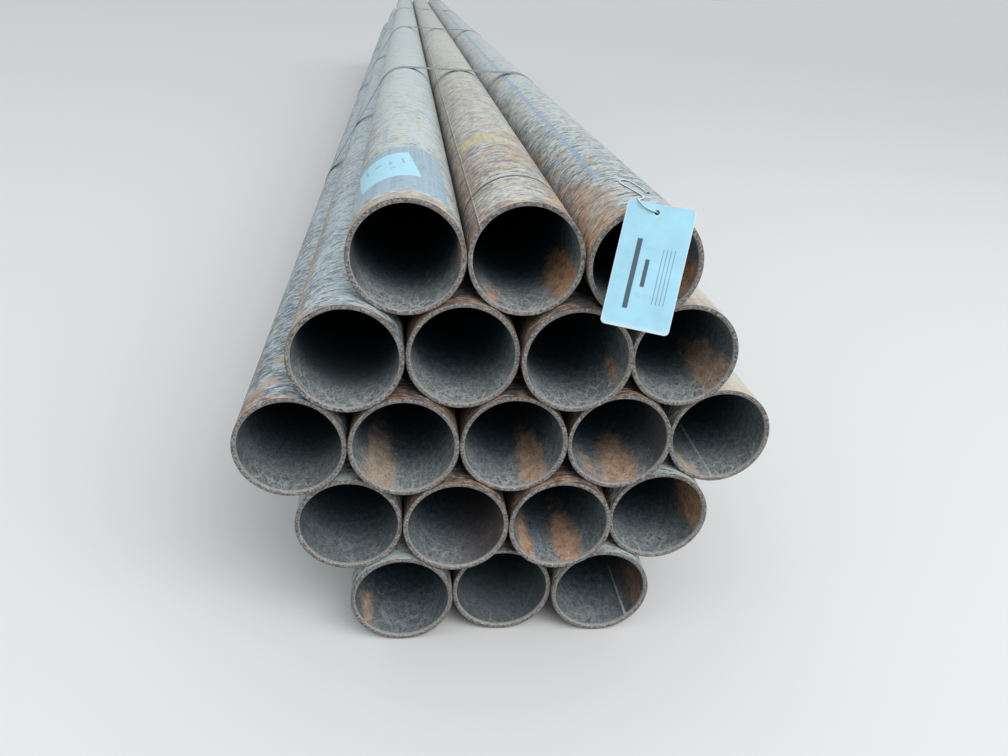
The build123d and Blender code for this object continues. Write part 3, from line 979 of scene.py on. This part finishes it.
label_paper, tree, shader = new_material("label_paper")
colour = ramp(noise(tree, 300), [(0.3, (0.42, 0.75, 0.92)), (0.7, (0.48, 0.83, 0.98))])
soil = fade(noise(tree, 40), 0.5, 0.75)
colour = mix(0.25 * soil, colour, (0.45, 0.55, 0.6))
LABEL_BARS = [
    (-20, 22, 1.2, 14, 0.45), (-6, 18, 4, 5, 0.3), (8, 10, 1.6, 9, 0.35), (8, -14, 3, 4, 0.25), (22, 12, 1.0, 12, 0.4),
]
fill(shader, {"Base Color": mix(ruled(tree, LABEL_BARS), colour, RULE_GREY), "Roughness": 0.55})

# %% Label surface
LABEL_WIDTH, LABEL_LENGTH = 66 * MM, 116 * MM
LABEL_GLUE, LABEL_THICKNESS = 0.1 * MM, 0.2 * MM
LABEL_FROM_END = 147 * MM
LABEL_ANGLE, LABEL_SKEW = radians(114), radians(6.5)


def make_label(across_steps=48, along_steps=60):
    """A skewed flat rectangle rolled on: distance across over the radius is the angle, distance along is along."""
    x, z, _, near, _ = pipe_place("pipe_1_1")
    inner = PIPE_RADIUS + LABEL_GLUE
    across = np.linspace(0.5, -0.5, across_steps)[None, :] * LABEL_WIDTH
    along = np.linspace(-0.5, 0.5, along_steps)[:, None] * LABEL_LENGTH
    turned_across = across * cos(LABEL_SKEW) - along * sin(LABEL_SKEW)
    turned_along = across * sin(LABEL_SKEW) + along * cos(LABEL_SKEW)
    theta = LABEL_ANGLE - turned_across / inner
    points, faces = thin_sheet(*(
        points_of(x + radius * np.cos(theta), near + LABEL_FROM_END + turned_along, z + radius * np.sin(theta))
        for radius in (inner + LABEL_THICKNESS, inner)
    ))
    piece = make_piece("dressed_label", points, "label_paper", label_paper, faces=faces)
    add_numbers(piece, (2, along_steps, across_steps), across_mm=across / MM, along_mm=along / MM)
    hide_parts("label")
    return piece


label = make_label()
print("label points:", len(label.data.vertices))

# %% [markdown]
# ## Tag
#
# The tag is a stiff plastic card with round corners and one hole. A boolean could cut the hole, but a ruled grid
# is cleaner: rings that start on the hole's circle and open out evenly to the card's outline. The card is blank
# but for plain ruled bars; its rim is a little paler where the plastic is cut, and its hole's wall has a painted
# highlight.

# %% Tag material
PLASTIC = (0.42, 0.77, 0.95)

tag_plastic, tree, shader = new_material("tag_plastic")
plastic = [(place, tuple(level * part for part in PLASTIC)) for place, level in ((0.35, 0.93), (0.65, 1.06))]
colour = ramp(noise(tree, 30), plastic)
# Paler cut rim, and a painted highlight on the hole's wall
colour = mix(stored(tree, "rim"), colour, (0.72, 0.88, 0.97))
smudge = fade(noise(tree, 55, 55, 90, detail=5, roughness=0.65), 0.56, 0.72)
colour = mix(0.22 * smudge, colour, (0.3, 0.42, 0.52))
TAG_BARS = [(-9.5, -59, 2.4, 33, 0.95), (1.5, -57, 2.0, 13, 0.95)]
TAG_BARS += [(across, -58, 0.4, 26, 0.6) for across in (14, 17.5, 21, 24.5)]
fill(shader, {
    "Base Color": mix(ruled(tree, TAG_BARS) * stored(tree, "front"), colour, RULE_GREY),
    "Roughness": 0.42, "Coat Weight": 0.15,
    "Normal": bump(noise(tree, 500, detail=3, roughness=0.55), 0.02 * MM, 0.4),
})

# %% Tag surface
TAG_WIDTH, TAG_HEIGHT, TAG_THICKNESS = 64.0, 118.0, 0.8
TAG_CORNER, TAG_HOLE_RADIUS = 4.5, 2.4
TAG_HOLE_FROM_LEFT, TAG_HOLE_FROM_TOP = 28.6, 8.1
TAG_EDGE = 0.18


def card_outline(count):
    """Points once round the card in millimetres from its hole, anticlockwise: four sides joined by quarter circles."""
    left, right_side = -TAG_HOLE_FROM_LEFT, TAG_WIDTH - TAG_HOLE_FROM_LEFT
    top, bottom = TAG_HOLE_FROM_TOP, TAG_HOLE_FROM_TOP - TAG_HEIGHT
    corners = [(right_side, top, 0), (left, top, 90), (left, bottom, 180), (right_side, bottom, 270)]
    outline = []
    for x, y, start in corners:
        centre = np.array([x - np.sign(x) * TAG_CORNER, y - (1 if y > 0 else -1) * TAG_CORNER])
        sweep = np.radians(np.linspace(start, start + 90, 10))
        outline.append(centre + TAG_CORNER * circle(sweep))
    outline = np.concatenate(outline + [outline[0][:1]])
    *run, whole = distances_along(outline)
    places = np.concatenate([run, np.linspace(0, whole, count, endpoint=False)])
    return read_along(outline, np.unique(np.round(places, 2)))


def make_tag():
    """Rings from the hole's wall over the front to the rim, and over the back to the hole again."""
    outline = card_outline(240)
    outward = unit(outline)
    hole = outward * TAG_HOLE_RADIUS
    half = TAG_THICKNESS / 2
    shares = np.concatenate([[0.0], np.linspace(0.02, 1, 22)])
    rings = hole + (outline - outward * TAG_EDGE - hole) * shares[:, None, None]
    flat = np.concatenate([rings, [outline, outline], rings[::-1]])
    depths = np.repeat([-half, -half + TAG_EDGE, half - TAG_EDGE, half], [len(shares), 1, 1, len(shares)])
    rims = np.concatenate([(shares == 0) | (shares == 1), [True, True], shares[::-1] == 1])
    fronts = depths == -half
    across, height = flat[..., 0], flat[..., 1]
    local = points_of(across, depths[:, None], height) * MM
    turn_matrix, shift = np.array(tag_frame.to_3x3()), np.array(tag_frame.translation)
    points = local @ turn_matrix.T + shift
    piece = make_piece("dressed_tag", points, "tag_plastic", tag_plastic)
    add_numbers(piece, across.shape, across_mm=across, along_mm=height, rim=rims[:, None], front=fronts[:, None])
    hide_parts("tag")
    return piece


tag = make_tag()
print("tag points:", len(tag.data.vertices))

# %% [markdown]
# ## The tie's cord and knots
#
# The cord is two plies twisted round each other. Each ply is a round tube whose centre circles the route: one
# turn in a few millimetres. Each end has a small knot, made as a trefoil, which is a line that winds three times
# one way while it winds twice the other. The cord is dark, partly its own colour and partly painted shade, and its
# top is painted pale as a painted reflection of the sky, so the mesh stores how near each point is to the cord's top.

# %% Tie material
tie_cord, tree, shader = new_material("tie_cord")
fuzz = noise(tree, 2500, detail=3)
# Painted reflection of the sky along the cord's top, over its dark colour and painted shade
sky_reflection_colour = ramp(fuzz, [(0.3, (0.7, 0.82, 0.87)), (0.7, (0.88, 0.95, 0.97))])
dark_cord_and_shade = ramp(fuzz, [(0.3, (0.035, 0.045, 0.055)), (0.7, (0.085, 0.105, 0.12))])
reflection_share = fade(stored(tree, "top"), -0.45, 0.15)
fill(shader, {"Base Color": mix(reflection_share, dark_cord_and_shade, sky_reflection_colour), "Roughness": 0.6})

# %% Tie surface
PLY_RADIUS = 0.42 * MM
TWIST_LENGTH = 4.5 * MM
KNOT_SIZE, KNOT_CORD_RADIUS = 1.7 * MM * 0.62, 0.55 * MM
CORD_TIP_RADIUS = 0.1 * MM
TIE_STEP = 0.35 * MM
NEAR_UP = np.array([0.12, 0.31, 0.94])


def side_directions(line):
    """Two directions square to the line at each point, the first as near as can be to straight up."""
    along = unit(np.gradient(line, axis=0))
    upward = unit(NEAR_UP - along * (along @ NEAR_UP)[:, None])
    return upward, np.cross(along, upward)


def tube(line, radius, sides=10, closed=False):
    """A round tube: a circle in the two side directions at each point of a line, capped at its ends."""
    upward, sideways = side_directions(line)
    around = np.linspace(0, 2 * pi, sides, endpoint=False)[:, None]
    ring = upward[:, None] * np.cos(around) + sideways[:, None] * np.sin(around)
    radius = np.broadcast_to(radius, len(line)).copy()
    if not closed:
        radius[[0, -1]] = CORD_TIP_RADIUS
    points = line[:, None, :] + ring * radius[:, None, None]
    faces = grid_faces(len(line), sides, close_rows=closed, close_columns=True)[:, ::-1]
    if not closed:
        k = np.arange(sides // 2 - 1)
        cap = np.stack([k, k + 1, sides - 2 - k, sides - 1 - k], axis=1)
        faces = np.concatenate([cap[:, ::-1], faces, cap + (len(line) - 1) * sides])
    return points.reshape(-1, 3), faces


def trefoil(centre, size, count=90):
    """A closed line that goes round twice while it winds three times about its own ring."""
    t = np.linspace(0, 2 * pi, count, endpoint=False)
    shape = points_of(np.sin(t) + 2 * np.sin(2 * t), np.cos(t) - 2 * np.cos(2 * t), -np.sin(3 * t))
    return centre + shape * size / 3


def make_tie():
    """Both plies of the cord along the route, as one mesh."""
    whole = distances_along(tie_line)[-1]
    places = np.linspace(0, whole, int(whole / TIE_STEP) + 1)
    line = read_along(tie_line, places)
    upward, sideways = side_directions(line)
    plies = []
    for start in (0, pi):
        twist = (start + 2 * pi * places / TWIST_LENGTH)[:, None]
        offset = (TIE_DIAMETER / 2 - PLY_RADIUS) * (upward * np.cos(twist) + sideways * np.sin(twist))
        plies.append(tube(line + offset, PLY_RADIUS))
    points = np.concatenate([ply_points for ply_points, _ in plies])
    faces = np.concatenate([plies[0][1], plies[1][1] + len(plies[0][0])])
    piece = make_piece("dressed_tag_tie", points, "tie_cord", tie_cord, faces=faces, sharp_angle=180)
    from_centre = points.reshape(2, len(line), -1, 3) - line[None, :, None, :]
    height = (from_centre * upward[:, None]).sum(axis=-1)
    add_numbers(piece, height.shape, top=height / (TIE_DIAMETER / 2))
    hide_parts("tag_tie")
    return piece, line


def make_knot(name, centre):
    """A trefoil of the same cord, drawn tight."""
    points, faces = tube(trefoil(centre, KNOT_SIZE), KNOT_CORD_RADIUS, closed=True)
    knot = make_piece(name, points, "tie_cord", tie_cord, faces=faces, sharp_angle=180)
    # Painted shade: the knots take the dark colour all over, with no painted reflection
    add_numbers(knot, len(points), top=-1.0)
    return knot


tie, tie_path = make_tie()
knots = [make_knot("tie_knot_on_pipe", tie_path[0]), make_knot("tie_knot_at_tag", tie_path[-1])]
print("tie points:", len(tie.data.vertices))

# %% [markdown]
# ## Floor, light and sky
#
# The studio is plain: a pale floor, an even pale sky and one broad soft lamp in front, so the tops are bright and
# the bores are lit at the mouth and go dark with depth. The lamp's spread is narrowed as by a grid, or the floor
# right under it would clip to white. The sky is even for the camera and for reflections. As a light it is
# brighter overhead, like a cloudy sky, and just strong enough that a colour looks about as it is written.

# %% Studio
floor_mesh = bpy.data.meshes.new("floor")
floor_mesh.from_pydata([(-60, -60, 0), (60, -60, 0), (60, 60, 0), (-60, 60, 0)], [], [(0, 1, 2, 3)])
floor = bpy.data.objects.new("floor", floor_mesh)
scene.collection.objects.link(floor)


def seen_directly(tree):
    """1 for the camera's rays and what they show in gloss or through glass, and 0 for rays that carry light."""
    camera_ray, glossy_ray, through_ray = (
        signal(tree, "LightPath", f"Is {kind} Ray") for kind in ("Camera", "Glossy", "Transmission")
    )
    return camera_ray.at_least(glossy_ray).at_least(through_ray)


floor_paint, tree, shader = new_material("floor_paint")
floor_colour = mix(seen_directly(tree), (0.36, 0.34, 0.31), (0.81, 0.81, 0.805))
fill(shader, {"Base Color": floor_colour, "Roughness": 0.9, "Specular IOR Level": 0.1})
floor_mesh.materials.append(floor_paint)

world = bpy.data.worlds.new("sky")
scene.world = world
world.use_nodes = True
sky = world.node_tree
sky.nodes.clear()
direction = signal(sky, "TexCoord", "Generated")
height = signal(sky, "SeparateXYZ", "Z", {0: direction})
strength = 0.58 + 0.3 * height.at_least(0.0)
as_light = signal(sky, "Background", 0, {"Color": (0.93, 0.97, 1.0), "Strength": strength})
as_seen = signal(sky, "Background", 0, {"Color": (0.86, 0.885, 0.9), "Strength": 0.688})
choice = signal(sky, "MixShader", 0, {0: seen_directly(sky), 1: as_light, 2: as_seen})
node(sky, "OutputWorld", {"Surface": choice})

lamp = bpy.data.objects.new("softbox", bpy.data.lights.new("softbox", "AREA"))
lamp.data.shape = "RECTANGLE"
lamp.data.size, lamp.data.size_y = 5, 3
lamp.data.energy = 74
lamp.data.spread = radians(110)
lamp.location = (2.1, -6.7, 4.3)
lamp.rotation_euler = (Vector((0, -3.0, 0.2)) - lamp.location).to_track_quat("-Z", "Y").to_euler()
scene.collection.objects.link(lamp)

scene.view_settings.view_transform = "Standard"
